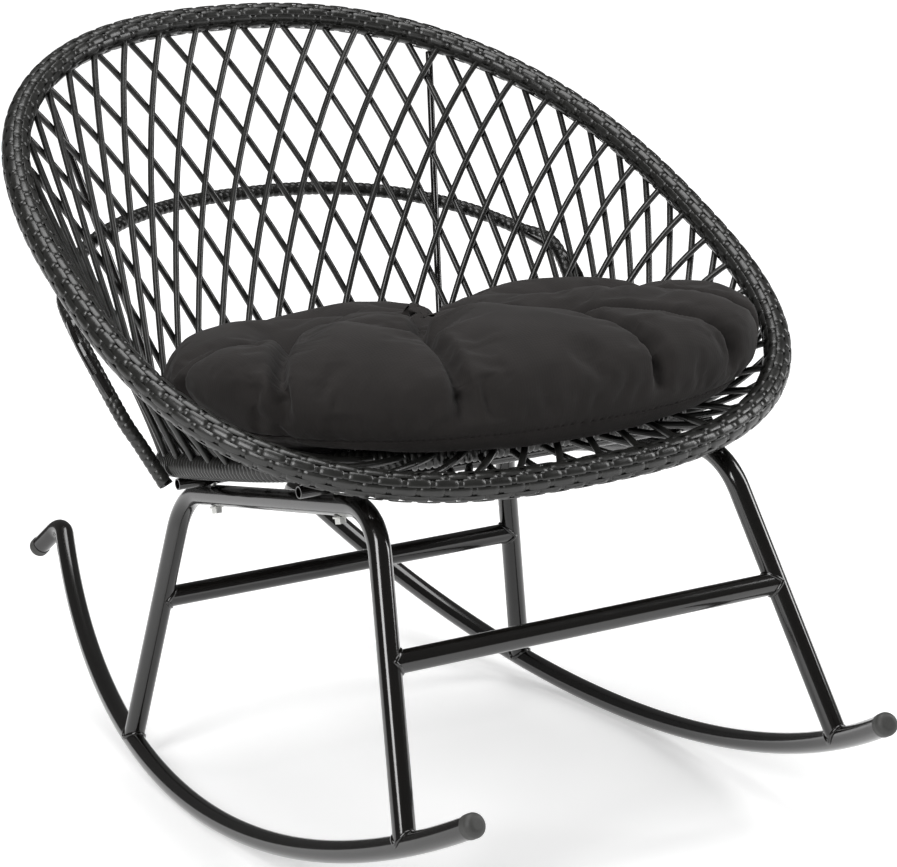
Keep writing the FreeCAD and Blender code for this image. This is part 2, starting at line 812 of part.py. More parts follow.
def hoop_edges():
    bend_share = leg_share - size("hoop_corner") / rim.length
    shares = [
        bend_share * (2 * step / (HOOP_POINTS - 1) - 1)
        for step in range(HOOP_POINTS)
    ]
    left_top, left_foot, left_down = hoop_leg(LEFT)
    right_top, right_foot, right_down = hoop_leg(RIGHT)
    chain = [Part.makeLine(left_foot, left_top)]
    chain += biarc(left_top, left_down * -1, hoop_point(shares[0]), hoop_heading(shares[0]))
    for near, far in zip(shares, shares[1:]):
        chain += biarc(hoop_point(near), hoop_heading(near), hoop_point(far), hoop_heading(far))
    chain += biarc(hoop_point(shares[-1]), hoop_heading(shares[-1]), right_top, right_down)
    chain.append(Part.makeLine(right_top, right_foot))
    return chain


hoop_path = hoop_edges()
piece("back_hoop_rod", swept(hoop_path, hoop_rod_radius, SLEEVE_SIDES))
piece("back_hoop_wrap", tube(hoop_path, hoop_radius, hoop_rod_radius + size("sleeve_gap"), SLEEVE_SIDES))


# Seat strips: flat bands across the ring and, over them, bands from front to back

ring_mouth = ring.rod(ring_radius + seat_gap)
strip_step = size("strip_width") + size("strip_space")
strip_frame = Placement(seat_point(0, 0, 0), facing(SEAT_UP))
cross_foot = ring_height - size("strip_thickness") - size("strip_gap") / 2
long_foot = ring_height + size("strip_gap") / 2


def strip(across, back, width, depth, foot):
    block = Part.makeBox(width, depth, size("strip_thickness"), Vector(across, back, foot))
    block.Placement = strip_frame
    return largest(block.cut(ring_mouth))


def strip_places(low, high):
    """Middles of as many strips as fit between two limits, evenly about their centre."""
    count = int((high - low - size("strip_width")) // strip_step) + 1
    middle = (low + high) / 2
    return [middle + strip_step * (number - (count - 1) / 2) for number in range(count)]


ring_front = size("ring_setback") - size("ring_front_depth")
ring_rear = size("ring_setback") + size("ring_back_depth")
half_strip = size("strip_width") / 2
cross_strips = []
for place in strip_places(ring_front + 2 * ring_radius, ring_rear - 2 * ring_radius):
    cross_strips.append(
        strip(
            -size("ring_half_width"),
            place - half_strip,
            2 * size("ring_half_width"),
            size("strip_width"),
            cross_foot,
        )
    )
piece("seat_strips_cross", Part.makeCompound(cross_strips))
long_strips = []
for place in strip_places(2 * ring_radius - size("ring_half_width"), size("ring_half_width") - 2 * ring_radius):
    long_strips.append(
        strip(
            place - half_strip,
            ring_front,
            size("strip_width"),
            ring_rear - ring_front,
            long_foot,
        )
    )
piece("seat_strips_long", Part.makeCompound(long_strips))


# Cushion: a tufted oval pad that sinks between the ring and swells over it

ring_top = ring_height + ring_radius
strips_top = long_foot + size("strip_thickness")
belly_height = ring_top + size("cushion_belly")
wall_skin = layer_offset + strand_radius


def seat_place(point):
    """A point's place in the seat's frame."""
    offset = point - UP * size("bar_height")
    return Vector(offset.x, offset.dot(SEAT_BACK), offset.dot(SEAT_UP))


def wall_at(share, height):
    """Place of the lattice at a share and a height above the seat's frame."""
    low, high = 0.0, 1.0
    while high - low > STRAIGHT:
        middle = (low + high) / 2
        if seat_place(woven(share, middle)).z > height:
            low = middle
        else:
            high = middle
    return seat_place(woven(share, low))


def wall_half_width(back, height):
    """Half the width of the bowl at a place along the seat and a height above it."""
    low, high = 0.0, 0.5
    while high - low > STRAIGHT:
        middle = (low + high) / 2
        if wall_at(middle, height).y > back:
            low = middle
        else:
            high = middle
    return wall_at(low, height).x


def outline_share(part):
    """Width of the cushion's outline, as a share, at a part of the way to its back."""
    power = size("cushion_back_power")
    return (1 - part ** power) ** (1 / power)


FIT_STEPS = 10


def cushion_fit(height):
    """Half width at a height at which the cushion keeps its gap to the lattice all the way back."""
    room = []
    for step in range(FIT_STEPS - 1):
        part = step / FIT_STEPS
        place = size("cushion_setback") + size("cushion_back") * part
        width = wall_half_width(place, height) - wall_skin - size("cushion_side_gap")
        room.append(width / outline_share(part))
    return min(room)


# Parts of the way from the strips to the ring's top and on to the belly, with the underside's
# width as a share of the widest, and the angles at which the crown is cut

UNDERSIDE = ((0.0, 0.60), (1.0, 0.74))
SWELL = (0.28, 0.62, 1.0)
CROWN_ANGLES = (15, 30, 45, 60, 75, 85)
CROWN_ROUND = 0.5
widest = cushion_fit(belly_height)


def cushion_sections(drop):
    """Heights and half widths from the flat underside, over the ring, to a crown lower by a drop."""
    over_ring = ring_top + 6 * seat_gap
    under = strips_top + seat_gap
    rise = size("cushion_crown") - size("cushion_belly") - drop
    sections = [(under + (over_ring - under) * part, wide * widest) for part, wide in UNDERSIDE]
    heights = [over_ring + (belly_height - over_ring) * part for part in SWELL]
    sections += [(height, cushion_fit(height)) for height in heights]
    for turn in map(math.radians, CROWN_ANGLES):
        sections.append((belly_height + rise * math.sin(turn), widest * math.cos(turn) ** CROWN_ROUND))
    return sections


def cushion_outline(height, half_width, inset):
    wide = half_width / widest
    outline = Oval(
        seat_point(0, size("cushion_setback"), height),
        SEAT_BACK,
        half_width - inset,
        (size("cushion_back") * wide - inset, size("cushion_front") * wide - inset),
        (size("cushion_back_power"), size("cushion_front_power")),
    )
    return Part.makePolygon(outline.points + outline.points[:1])


def cushion_body(inset, drop):
    """Untufted cushion, or the hollow inside its cover and below its tufts."""
    sections = cushion_sections(drop)
    bottom, top = sections[0][0], sections[-1][0]
    squeeze = 1 - 2 * inset / (top - bottom)
    outlines = [
        cushion_outline(bottom + inset + (height - bottom) * squeeze, half_width, inset)
        for height, half_width in sections
    ]
    return Part.makeLoft(outlines, True, True)


def tuft_places():
    """Three rows of tufts, with the middle row set between the others."""
    middle = size("cushion_setback") + (size("cushion_back") - size("cushion_front")) / 2
    places = []
    for row, count in ((-1, 2), (0, 3), (1, 2)):
        for number in range(count):
            across = size("tuft_space") * (number - (count - 1) / 2)
            places.append((across, middle + row * size("tuft_row")))
    return places


crown_height = ring_top + size("cushion_crown")
outside = cushion_body(0, 0)


def cushion_top(across, back):
    """Height of the untufted cushion at a place on the seat."""
    probe = Part.makeLine(seat_point(across, back, belly_height), seat_point(across, back, 2 * crown_height))
    return max(seat_place(vertex.Point).z for vertex in probe.common(outside).Vertexes)


tuft_hubs = [
    seat_point(across, back, cushion_top(across, back) - size("tuft_depth") + size("tuft_radius"))
    for across, back in tuft_places()
]


cushion = outside
for hub in tuft_hubs:
    cushion = cushion.cut(Part.makeSphere(size("tuft_radius"), hub))
piece("seat_cushion", cushion.cut(cushion_body(size("cushion_cover"), size("tuft_depth"))))


# Least gap between two strands, measured on the straight runs of their centre lines

def chord_distance(first, second):
    """Distance between two straight stretches, ends included."""
    start, other = first[0], second[0]
    along, across = first[1] - first[0], second[1] - second[0]
    offset = start - other
    aa, bb, ab = along.dot(along), across.dot(across), along.dot(across)
    ao, bo = along.dot(offset), across.dot(offset)
    denominator = aa * bb - ab * ab
    part = 0.0 if denominator < STRAIGHT else min(1.0, max(0.0, (ab * bo - bb * ao) / denominator))
    place = min(1.0, max(0.0, (ab * part + bo) / bb))
    part = min(1.0, max(0.0, (ab * place - ao) / aa))
    return (start + along * part - other - across * place).Length


def chords(places):
    points = [point for point, heading in places]
    return list(zip(points, points[1:]))


strand_chords = {key: chords(places) for key, places in strands.items()}


def strand_distance(first, second):
    return min(
        chord_distance(one, other)
        for one in strand_chords[first]
        for other in strand_chords[second]
    )


CROSSED = 14
least = min(
    strand_distance((number, RIGHT), ((number + step) % strand_count, LEFT))
    for number in range(strand_count)
    for step in range(CROSSED)
)
print(f"least gap between two strands: {least - size('strand_od'):.2f} mm")

# Lean the chair back to its rest, stand it on the floor and centre it

doc.recompute()
lean = Placement(Vector(), Rotation(ACROSS, -size("rest_lean")))
leaned = [feature.Shape.transformGeometry(lean.toMatrix()) for feature in pieces if "cap" in feature.Label]
ends = Part.makeCompound(leaned).optimalBoundingBox(False, False)
contact_turn = math.atan(math.tan(angle("rest_lean")) / math.cos(angle("rocker_inward")))
contact = lean.multVec(rocker_point(RIGHT, contact_turn))
stand = Placement(Vector(0, -(ends.YMin + ends.YMax) / 2, tube_radius - contact.z), Rotation())
rest = stand.multiply(lean)
for feature in pieces:
    feature.Placement = rest.multiply(feature.Placement)
doc.recompute()
print(f"rockers touch the floor at y = {stand.multVec(contact).y:.1f} mm")

for feature in doc.Objects:
    if "Invalid" in feature.State or "Error" in feature.State:
        raise RuntimeError(f"{feature.Label} did not recompute")
for feature in pieces:
    if feature.Shape.isNull() or not feature.Shape.isValid() or not feature.Shape.Solids:
        raise RuntimeError(f"{feature.Label} has no valid solid")

os.makedirs("parts", exist_ok=True)
for feature in pieces:
    feature.Shape.exportStep(f"parts/{feature.Label}.step")
print(f"{len(pieces)} pieces written")
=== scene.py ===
# %% [markdown]
# A black rattan rocking chair, dressed round its imported CAD model.
# The CAD gives every place and size, so each new piece is drawn from the same few measures
# and needs no fitting. This first step loads that frame. The dressed chair may not grow
# past it.

# %% Load the frame
import math

import bpy
import numpy as np
from mathutils import Matrix, Vector
from mathutils.kdtree import KDTree


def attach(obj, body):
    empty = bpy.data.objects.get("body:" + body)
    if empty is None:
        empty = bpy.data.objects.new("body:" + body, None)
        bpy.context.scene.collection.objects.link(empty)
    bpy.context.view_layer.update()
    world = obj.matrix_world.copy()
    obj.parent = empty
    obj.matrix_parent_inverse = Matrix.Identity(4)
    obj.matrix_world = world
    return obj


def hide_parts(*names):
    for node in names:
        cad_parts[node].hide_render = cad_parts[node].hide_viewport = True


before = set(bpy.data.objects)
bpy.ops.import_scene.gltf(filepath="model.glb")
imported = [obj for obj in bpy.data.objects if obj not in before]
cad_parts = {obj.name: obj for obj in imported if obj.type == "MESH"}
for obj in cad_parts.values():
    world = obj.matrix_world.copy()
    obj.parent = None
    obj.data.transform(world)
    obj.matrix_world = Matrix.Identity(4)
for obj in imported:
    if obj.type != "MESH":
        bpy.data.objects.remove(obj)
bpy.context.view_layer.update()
bpy.ops.object.select_all(action="DESELECT")
scene = bpy.context.scene

# %% [markdown]
# Every material below is a small node tree. One function adds a node, sets its properties
# and fills or links its sockets. Colours are written as sRGB hex values, as a picture
# editor shows them, and turned to the linear numbers that the shader needs.

# %% Colours and nodes


def linear(colour):
    parts = [int(colour[i:i + 2], 16) / 255 for i in (1, 3, 5)]
    return [p / 12.92 if p <= 0.04045 else ((p + 0.055) / 1.055) ** 2.4 for p in parts] + [1.0]


def add(tree, kind, sockets=None, **settings):
    """Add a node with its settings; a socket takes a plain value or another node's output."""
    node = tree.nodes.new("ShaderNode" + kind)
    for name, value in settings.items():
        setattr(node, name, value)
    for name, value in (sockets or {}).items():
        if isinstance(value, bpy.types.NodeSocket):
            tree.links.new(value, node.inputs[name])
        else:
            node.inputs[name].default_value = value
    return node


def new_material(name):
    material = bpy.data.materials.new(name)
    material.use_nodes = True
    material.node_tree.nodes.clear()
    spot = add(material.node_tree, "TexCoord").outputs["Object"]
    return material, material.node_tree, spot


def show(tree, shader):
    add(tree, "OutputMaterial", {"Surface": shader.outputs[0]})


# %% [markdown]
# The base is steel tube with a baked powder coat: a thick, glossy black paint. It flows a
# little as it bakes, which leaves a faint orange peel about 4 mm across, and handling
# leaves it slightly duller in patches. So the tree has one fine noise for the bump and
# one broad noise for the gloss.

# %% Powder coat
PEEL = 0.004
PATCH = 0.07
powder_coat, tree, spot = new_material("black_powder_coat")
peel = add(tree, "TexNoise", {"Vector": spot, "Scale": 1 / PEEL, "Detail": 2.0})
patch = add(tree, "TexNoise", {"Vector": spot, "Scale": 1 / PATCH, "Detail": 3.0})
gloss = add(tree, "MapRange", {"Value": patch.outputs["Fac"], "To Min": 0.1, "To Max": 0.22})
paint = add(tree, "MixRGB", {
    "Fac": patch.outputs["Fac"], "Color1": linear("#090807"), "Color2": linear("#12100e"),
})
skin = add(tree, "Bump", {"Height": peel.outputs["Fac"], "Strength": 0.06, "Distance": 0.0005})
show(tree, add(tree, "BsdfPrincipled", {
    "Base Color": paint.outputs["Color"], "Roughness": gloss.outputs["Result"],
    "IOR": 1.5, "Coat Weight": 0.5, "Coat Roughness": 0.06, "Normal": skin.outputs["Normal"],
}))
print("made", powder_coat.name)

# %% [markdown]
# The strips and strands are extruded polyethylene, made to look like rattan. The die draws
# fine lines along each strand, and the plastic keeps a satin shine. A strand is only 7 mm
# wide, so tone varies over a centimetre or two and the lines are drawn at about 2 mm,
# coarser than real, to show at all.

# %% Synthetic rattan
TONE = 0.014
DIE_LINE = 0.002
rattan, tree, spot = new_material("synthetic_rattan")
tone = add(tree, "TexNoise", {"Vector": spot, "Scale": 1 / TONE, "Detail": 4.0})
lines = add(tree, "TexNoise", {"Vector": spot, "Scale": 1 / DIE_LINE, "Detail": 2.0})
shade = add(tree, "MixRGB", {
    "Fac": tone.outputs["Fac"], "Color1": linear("#121211"), "Color2": linear("#2b2b29"),
})
gloss = add(tree, "MapRange", {"Value": tone.outputs["Fac"], "To Min": 0.22, "To Max": 0.38})
skin = add(tree, "Bump", {"Height": lines.outputs["Fac"], "Strength": 0.18, "Distance": 0.0006})
show(tree, add(tree, "BsdfPrincipled", {
    "Base Color": shade.outputs["Color"], "Roughness": gloss.outputs["Result"],
    "IOR": 1.52, "Normal": skin.outputs["Normal"],
}))
print("made", rattan.name)

# %% [markdown]
# The cushion cover is a woven polyester in charcoal black. Yarns cross every 0.6 mm or so in
# cloth of this kind; the crossing bands here are 3 mm apart, so that the weave reads at the
# distance of the picture. A wave texture of scale 1 has a band every 0.314 m, which gives
# the scale. Loose fibre ends give cloth a soft sheen at grazing angles.

# %% Cushion cloth
YARN, BAND_AT_ONE = 0.003, 0.314
CLOUD = 0.05
cloth_finish, tree, spot = new_material("charcoal_polyester_cloth")
yarns = {"Vector": spot, "Scale": BAND_AT_ONE / YARN, "Distortion": 1.2, "Detail": 1.0}
warp = add(tree, "TexWave", yarns, bands_direction="X")
weft = add(tree, "TexWave", yarns, bands_direction="Y")
weave = add(tree, "Math", {0: warp.outputs["Fac"], 1: weft.outputs["Fac"]}, operation="ADD")
cloud = add(tree, "TexNoise", {"Vector": spot, "Scale": 1 / CLOUD, "Detail": 5.0})
shade = add(tree, "MixRGB", {
    "Fac": cloud.outputs["Fac"], "Color1": linear("#1d1b1a"), "Color2": linear("#2d2a29"),
})
skin = add(tree, "Bump", {"Height": weave.outputs["Value"], "Strength": 0.12, "Distance": 0.0006})
show(tree, add(tree, "BsdfPrincipled", {
    "Base Color": shade.outputs["Color"], "Roughness": 0.85, "IOR": 1.45,
    "Specular IOR Level": 0.25, "Sheen Weight": 0.05, "Sheen Roughness": 0.4,
    "Normal": skin.outputs["Normal"],
}))
print("made", cloth_finish.name)

# %% [markdown]
# Two small finishes are left. The bolts and washers are zinc plated steel, bright with a
# cloudy grain. The caps in the rocker ends are moulded polyethylene, matte and a shade
# greyer than the paint.

# %% Zinc and cap plastic
GRAIN = 0.0015
zinc, tree, spot = new_material("zinc_plated_steel")
grain = add(tree, "TexNoise", {"Vector": spot, "Scale": 1 / GRAIN, "Detail": 3.0})
gloss = add(tree, "MapRange", {"Value": grain.outputs["Fac"], "To Min": 0.22, "To Max": 0.42})
shade = add(tree, "MixRGB", {
    "Fac": grain.outputs["Fac"], "Color1": linear("#b4b5b3"), "Color2": linear("#d6d6d2"),
})
show(tree, add(tree, "BsdfPrincipled", {
    "Base Color": shade.outputs["Color"], "Metallic": 1.0, "Roughness": gloss.outputs["Result"],
}))
cap_plastic, tree, spot = new_material("moulded_polyethylene")
grain = add(tree, "TexNoise", {"Vector": spot, "Scale": 1 / GRAIN, "Detail": 2.0})
shade = add(tree, "MixRGB", {
    "Fac": grain.outputs["Fac"], "Color1": linear("#343433"), "Color2": linear("#444442"),
})
skin = add(tree, "Bump", {"Height": grain.outputs["Fac"], "Strength": 0.15, "Distance": 0.0003})
show(tree, add(tree, "BsdfPrincipled", {
    "Base Color": shade.outputs["Color"], "Roughness": 0.55, "Normal": skin.outputs["Normal"],
}))
print("made", zinc.name, "and", cap_plastic.name)

# %% [markdown]
# Some CAD nodes already have their real shape: crossbars, seat rails, bolts, washers, caps,
# struts, stays and the strips under the cushion. They keep it and only get a finish.

# %% Finishes of the CAD nodes
NODE_FINISHES = {
    powder_coat: ("crossbar", "rail_front", "rail_rear", "strut", "stay", "tube", "rod"),
    zinc: ("bolts", "washers", "inserts"),
    cap_plastic: ("cap",),
    rattan: ("strips",),
}
for finish, words in NODE_FINISHES.items():
    named = [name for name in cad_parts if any(word in name for word in words)]
    for name in named:
        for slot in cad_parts[name].material_slots:
            slot.material = finish
    print(finish.name, "on", ", ".join(sorted(named)))

# %% [markdown]
# The chair was drawn level, in millimetres, and then rolled on its rockers to where it
# balances. So points are worked out in the drawing and one function leans them by the
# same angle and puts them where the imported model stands. A second one takes them back.

# %% From the drawing to the floor
MM = 1000
LEAN = math.radians(7.4)
STAND = np.array((0.0, -169.4302, 9.0529))
LEANING = np.array((
    (1, 0, 0),
    (0, math.cos(LEAN), math.sin(LEAN)),
    (0, -math.sin(LEAN), math.cos(LEAN)),
))


def placed(points):
    return (np.asarray(points, float) @ LEANING.T + STAND) / MM


def drawn(points):
    return (np.asarray(points) * MM - STAND) @ LEANING


def unit(vectors):
    vectors = np.asarray(vectors, float)
    return vectors / np.linalg.norm(vectors, axis=-1, keepdims=True)


print("the drawing's origin stands at", placed((0, 0, 0)).round(3))

# %% [markdown]
# Rim, base ring and hoop are all tubes along a line, with something wound or woven on
# them. A Line knows its length, the point at any way along it, and the place on a tube
# round it at an angle and a radius. An oval is such a line: rounder or squarer by two
# powers, with a deeper back than front.

# %% Lines that things are wound on


class Line:
    """Points along the middle of a tube; NUDGE is the step, in mm, that finds its heading."""

    NUDGE = 2.0

    def __init__(self, points, normal, closed=False):
        self.points, self.normal, self.closed = np.asarray(points, float), unit(normal), closed
        steps = np.linalg.norm(np.diff(self.points, axis=0), axis=1)
        self.reach = np.concatenate(([0], np.cumsum(steps)))
        self.length = self.reach[-1]

    def at(self, way):
        way = np.asarray(way, float)
        way = way % self.length if self.closed else np.clip(way, 0, self.length)
        return np.stack([np.interp(way, self.reach, column) for column in self.points.T], axis=-1)

    def share(self, part):
        return self.at(np.asarray(part, float) * self.length)

    def around(self, way, angle, radius):
        heading = unit(self.at(way + self.NUDGE) - self.at(way - self.NUDGE))
        lift = unit(self.normal - heading * (heading @ self.normal)[:, None])
        side = np.cross(heading, lift)
        turned = lift * np.cos(angle)[:, None] + side * np.sin(angle)[:, None]
        return self.at(way) + turned * np.asarray(radius)[:, None]


def oval(centre, back, half_width, depths, powers, steps=1440):
    turn = np.linspace(0, 2 * np.pi, steps + 1)
    depth = np.where(np.cos(turn) >= 0, depths[0], depths[1])
    power = np.where(np.cos(turn) >= 0, powers[0], powers[1])
    across = np.sign(np.sin(turn)) * np.abs(np.sin(turn)) ** (2 / power) * half_width
    along = np.sign(np.cos(turn)) * np.abs(np.cos(turn)) ** (2 / power) * depth
    points = np.array(centre) + np.outer(across, (1, 0, 0)) + np.outer(along, back)
    return Line(points, np.cross((1, 0, 0), back), closed=True)


RIM_TILT = math.radians(33.9)
RIM_BACK = (0, math.cos(RIM_TILT), math.sin(RIM_TILT))
SEAT_BACK = np.array((0, 0.9982, -0.0593))
SEAT_UP = np.array((0, 0.0593, 0.9982))
rim = oval(
    centre=(0, 47, 553.5), back=RIM_BACK, half_width=362, depths=(452, 364), powers=(2.35, 2.65),
)
ring = oval(
    centre=(0, 72.086, 364.533), back=SEAT_BACK, half_width=235, depths=(228, 265), powers=(2.6, 3.5),
)
print("rim", round(rim.length), "mm round, base ring", round(ring.length), "mm")

# %% [markdown]
# A finished piece needs the same few things each time: its points where the chair stands,
# its finish, smooth shading, the body it moves with and the CAD node it stands for.

# %% Finishing a piece


def alone(piece):
    bpy.ops.object.select_all(action="DESELECT")
    piece.select_set(True)
    bpy.context.view_layer.objects.active = piece
    return piece


def moved_to(piece, points):
    piece.data.vertices.foreach_set("co", np.asarray(points, float).ravel())
    piece.data.update()
    return piece


def corners(piece):
    points = np.empty(len(piece.data.vertices) * 3)
    piece.data.vertices.foreach_get("co", points)
    return points.reshape(-1, 3)


def normals_of(piece):
    normals = np.empty(len(piece.data.vertices) * 3)
    piece.data.vertices.foreach_get("normal", normals)
    return normals.reshape(-1, 3)


def finished(piece, name, finish, slot, *nodes, body="chair"):
    alone(piece)
    piece.name = piece.data.name = name
    piece.data.materials.clear()
    piece.data.materials.append(finish)
    bpy.ops.object.shade_smooth()
    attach(piece, body)
    if nodes:
        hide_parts(*nodes)
    print(name, "has", len(piece.data.polygons), "faces")
    return piece


def joined(pieces):
    alone(pieces[0])
    for piece in pieces:
        piece.select_set(True)
    bpy.ops.object.join()
    return pieces[0]


# %% [markdown]
# Rockers and side frames are bent tube. A curve with a round bevel is the quickest tube in
# Blender: the curve is the centre line, and converting it gives a mesh. Their CAD solids
# have flat sides to keep them light, so smooth tubes take their place.

# %% Tubes along a line


def tubes(paths, radius, resolution, closed=False):
    """One mesh of round tubes, each along a path of points in the drawing."""
    bpy.ops.object.select_all(action="DESELECT")
    bpy.ops.curve.primitive_nurbs_path_add()
    piece = bpy.context.object
    piece.data.splines.clear()
    piece.data.bevel_depth = radius / MM
    piece.data.bevel_resolution = resolution
    piece.data.use_fill_caps = not closed
    for path in paths:
        spline = piece.data.splines.new("POLY")
        spline.points.add(len(path) - 1)
        spline.use_cyclic_u = closed
        for point, place in zip(spline.points, placed(path)):
            point.co = (*place, 1)
    alone(piece)
    bpy.ops.object.convert(target="MESH")
    return piece


def rounded(turns, radius, steps=14):
    """Open path whose inner corners are arcs, as a tube bender leaves them."""
    turns = [np.array(turn, float) for turn in turns]
    path = [turns[0]]
    for before, corner, after in zip(turns, turns[1:], turns[2:]):
        coming, going = unit(corner - before), unit(after - corner)
        bend = math.acos(float(np.clip(coming @ going, -1, 1)))
        start = corner - coming * radius * math.tan(bend / 2)
        inside = unit(going - coming * (coming @ going))
        for step in range(steps + 1):
            turn = bend * step / steps
            ahead, aside = radius * math.sin(turn), radius * (1 - math.cos(turn))
            path.append(start + coming * ahead + inside * aside)
    return path + [turns[-1]]


# %% [markdown]
# Each rocker is an arc in a plane that leans 26 degrees inwards, and its rear end is bent
# down as a stop, so that the chair can't tip over backwards.

# %% Rockers
TUBE = 11.0
ROCK, TRACK, INWARD = 968.0, 264.0, math.radians(26)
FRONT_END, REAR_END = -388, 635
BACK = np.array((0.0, 1.0, 0.0))
STOP_BEND, STOP_TURN, STOP_END = 26.0, math.radians(-38), 30.0


def rise_of(side):
    """Way up in the plane of one rocker."""
    return np.array((-side * math.sin(INWARD), 0, math.cos(INWARD)))


def rocker(side):
    rise = rise_of(side)
    lowest = np.array((side * TRACK, 0, TUBE))
    front, rear = math.asin(FRONT_END / ROCK), math.asin(REAR_END / ROCK)
    path = [
        lowest + BACK * ROCK * math.sin(turn) + rise * ROCK * (1 - math.cos(turn))
        for turn in np.linspace(front, rear, 90)
    ]
    hub = path[-1] + BACK * STOP_BEND * math.sin(rear) - rise * STOP_BEND * math.cos(rear)
    for turn in np.linspace(rear, STOP_TURN, 16)[1:]:
        path.append(hub - BACK * STOP_BEND * math.sin(turn) + rise * STOP_BEND * math.cos(turn))
    heading = BACK * math.cos(STOP_TURN) + rise * math.sin(STOP_TURN)
    return path + [path[-1] + heading * STOP_END]


SIDES = (("left", -1), ("right", 1))
for name, side in SIDES:
    rocker_tube = tubes([rocker(side)], TUBE, resolution=7)
    finished(rocker_tube, f"rocker_tube_{name}", powder_coat, "powder_coat", f"rocker_{name}")

# %% [markdown]
# Each side frame is one tube bent into an upside-down U. Its feet land on the rocker, and
# a weld bead runs round each foot and round the ends of the crossbars. The bead follows
# the line where two round tubes meet, so that line is worked out and gets a thin tube.

# %% Side frames and weld beads
BEAD, BEAD_REACH = 2.2, 1.01
CROSSBAR = 207.0
FRAME_BEND = 58.0
FRAME_TURNS = np.array((
    (243.67, -296, 52.67), (194.5, -208.63, 343.90), (194.5, 208.63, 319.11), (243.67, 296, 52.67),
))


def meeting(foot, stem, base):
    """Closed line where a tube from foot along stem leaves a tube that runs along base."""
    stem, base = unit(stem), unit(base)
    first = unit(np.cross(stem, base))
    second = np.cross(stem, first)
    loop = []
    for turn in np.linspace(0, 2 * np.pi, 41)[:-1]:
        reach = TUBE * (first * math.cos(turn) + second * math.sin(turn))
        flat_stem, flat_reach = stem - base * (stem @ base), reach - base * (reach @ base)
        a, b = flat_stem @ flat_stem, 2 * flat_stem @ flat_reach
        c = flat_reach @ flat_reach - TUBE ** 2
        way = (-b + math.sqrt(max(b * b - 4 * a * c, 0))) / (2 * a)
        loop.append(foot + reach * BEAD_REACH + stem * way)
    return loop


for name, side in SIDES:
    turns = FRAME_TURNS * (side, 1, 1)
    front_foot, front_knee, rear_knee, rear_foot = turns
    beads = []
    for foot, knee in ((front_foot, front_knee), (rear_foot, rear_knee)):
        along = math.asin(foot[1] / ROCK)
        heading = BACK * math.cos(along) + rise_of(side) * math.sin(along)
        beads.append(meeting(foot, knee - foot, heading))
        end = foot + (knee - foot) * (CROSSBAR - foot[2]) / (knee[2] - foot[2])
        beads.append(meeting(end, np.array((-side, 0, 0)), knee - foot))
    frame_tube = tubes([rounded(turns, FRAME_BEND)], TUBE, resolution=7)
    bead_rings = tubes(beads, BEAD, resolution=2, closed=True)
    finished(joined([frame_tube, bead_rings]), f"side_frame_tube_{name}", powder_coat,
             "powder_coat", f"side_frame_{name}")

# %% [markdown]
# The lattice is two layers of round strands that cross. Each strand starts under the rim's
# weave and runs down and round to the base ring, one layer to the right and the other to
# the left. The strands lie on a surface drawn in between rim and ring, because a stretched
# strand can't bulge out. Each of the ten CAD panels gets its own bundle of bevelled curves.

# %% Lattice strands
STRANDS, PANELS = 52, 10
STRAND = 3.5
LAYER = 3.8
SWEEP = 168.0
FIRST_PART, LAST_PART = 0.012, 0.985
SHARE_NUDGE = 0.004
BACK_SPAN = np.linalg.norm(ring.share(0) - rim.share(0))


def wall(share, part):
    return rim.share(share) + (ring.share(share) - rim.share(share)) * part


def outward(share):
    heading = rim.share(share + SHARE_NUDGE) - rim.share(share - SHARE_NUDGE)
    return unit(np.cross(heading, ring.share(share) - rim.share(share)))


def sweep_at(share):
    return SWEEP / ring.length * np.linalg.norm(ring.share(share) - rim.share(share)) / BACK_SPAN


def bow(share, sweep):
    middle = (rim.share(share - sweep / 2) + ring.share(share + sweep / 2)) / 2
    return (middle - wall(share, 0.5)) @ outward(share)


def draw_in(share, part):
    """How far the strands pull the wall in, which is most half way down."""
    half_way = (bow(share, sweep_at(share)) + bow(share, -sweep_at(share))) / 2
    return 4 * part * (1 - part) * half_way


def strand(number, layer, steps=18):
    start = (number + 0.5) / STRANDS
    sweep = layer * sweep_at(start)
    path = []
    for part in np.linspace(FIRST_PART, LAST_PART, steps):
        share = start + sweep * part
        stand = draw_in(share, part) + layer * LAYER
        path.append(wall(share, part) + outward(share) * stand)
    return path


for panel in range(PANELS):
    numbers = [number for number in range(STRANDS) if number * PANELS // STRANDS == panel]
    paths = [strand(number, layer) for number in numbers for layer in (-1, 1)]
    finished(tubes(paths, STRAND, resolution=2), f"lattice_strands_{panel + 1:02d}", rattan, "rattan",
             f"lattice_panel_{panel + 1:02d}")

# %% [markdown]
# The rim's cover is the showpiece: ten flat strips run lengthwise, and a wrap goes round
# every 13 mm. Each strip floats over one wrap and dips under the next, so the floats lie
# like bricks. One float and one bit of wrap are modelled flat from grids, doubled with
# half a shift, and arrayed along and across into a flat mat.

# %% One brick of the rim's weave
ROUND, MAT_WIDTH = 10, 90.0
PITCH = MAT_WIDTH / ROUND
PERIODS = 96
PERIOD = rim.length / PERIODS
FLOAT_TOP, FLOAT_HALF, FLOAT_EDGE, FLOAT_ARCH = 2.6, 4.35, 0.9, 0.2
DIP, DIP_FROM, DIP_RUN, DIP_NARROW = 2.5, 0.7, 0.3, 0.12
WRAP_LOW, WRAP_HALF, WRAP_EDGE, WRAP_ARCH, WRAP_REACH = 1.1, 2.2, 1.4, 0.4, 0.62
EDGE_POWER = 2.4
FLOAT_STEPS = np.array((-1, -0.92, -0.84, -0.74, -0.45, 0, 0.45, 0.74, 0.84, 0.92, 1))


